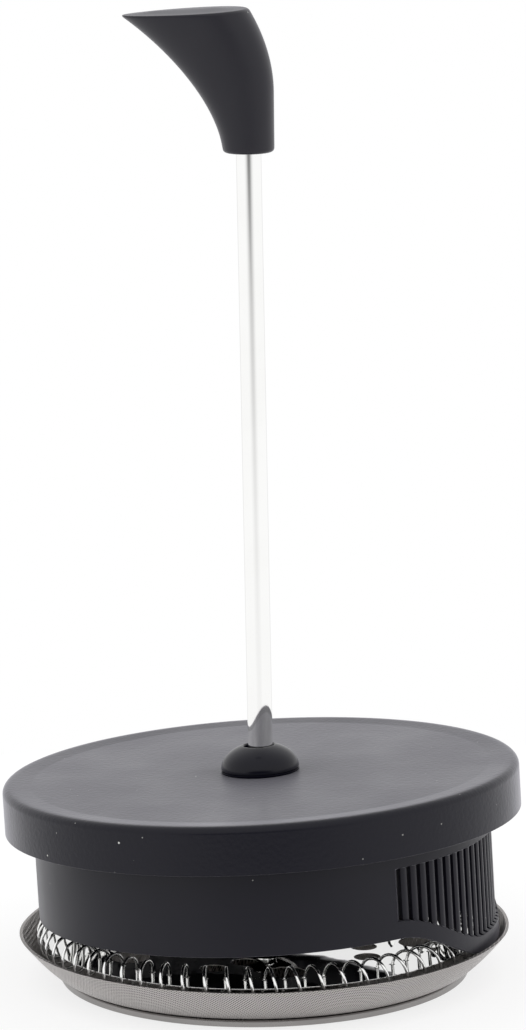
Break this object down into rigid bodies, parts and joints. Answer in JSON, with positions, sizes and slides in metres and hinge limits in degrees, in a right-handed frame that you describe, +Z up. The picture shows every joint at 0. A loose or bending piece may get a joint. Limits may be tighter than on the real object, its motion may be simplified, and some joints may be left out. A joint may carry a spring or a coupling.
{
  "type": "french press plunger",
  "caption": "French press plunger: a hooked knob on a steel rod, a lid with a slotted strainer skirt that slides and turns on it, and a spring-edged mesh filter.",
  "frame": {"origin": "centre of the cross plate's rim, on the surface that the plunger stands on", "axes": "+Z up along the rod; the knob's hook points along -X; the strainer in the lid faces +X and a little towards -Y at rest"},
  "size_m": [0.1042, 0.1042, 0.1951],
  "materials": {
    "knob_plastic": "soft satin black",
    "lid_plastic": "fine-grained matt black",
    "skirt_plastic": "smooth matt black",
    "guide_plastic": "satin black",
    "bush_plastic": "natural white",
    "rod_chrome": "polished",
    "plate_steel": "mirror polished",
    "spring_steel": "bright drawn wire",
    "woven_steel": "fine woven wire",
    "base_steel": "satin",
    "insert_brass": "turned"
  },
  "bodies": {
    "plunger": {"knob": "knob_plastic", "knob_insert": "insert_brass", "plunger_rod": "rod_chrome", "clamp_washer": "plate_steel", "spiral_plate": "plate_steel", "edge_spring": "spring_steel", "mesh_screen": "woven_steel", "cross_plate": "base_steel", "hub_nut": "base_steel"},
    "bush": {"guide_bush": "bush_plastic"},
    "lid": {"lid_cover": "lid_plastic", "strainer_skirt": "skirt_plastic", "rod_guide": "guide_plastic", "guide_clip": "base_steel"}
  },
  "joints": [
    {"name": "lid_slide", "type": "slide", "parent": "plunger", "child": "bush", "axis": [0, 0, 1], "range_m": [0, 0.119]},
    {"name": "lid_turn", "type": "hinge", "parent": "bush", "child": "lid", "pos_m": [0, 0, 0.039], "axis": [0, 0, 1], "continuous": true}
  ]
}
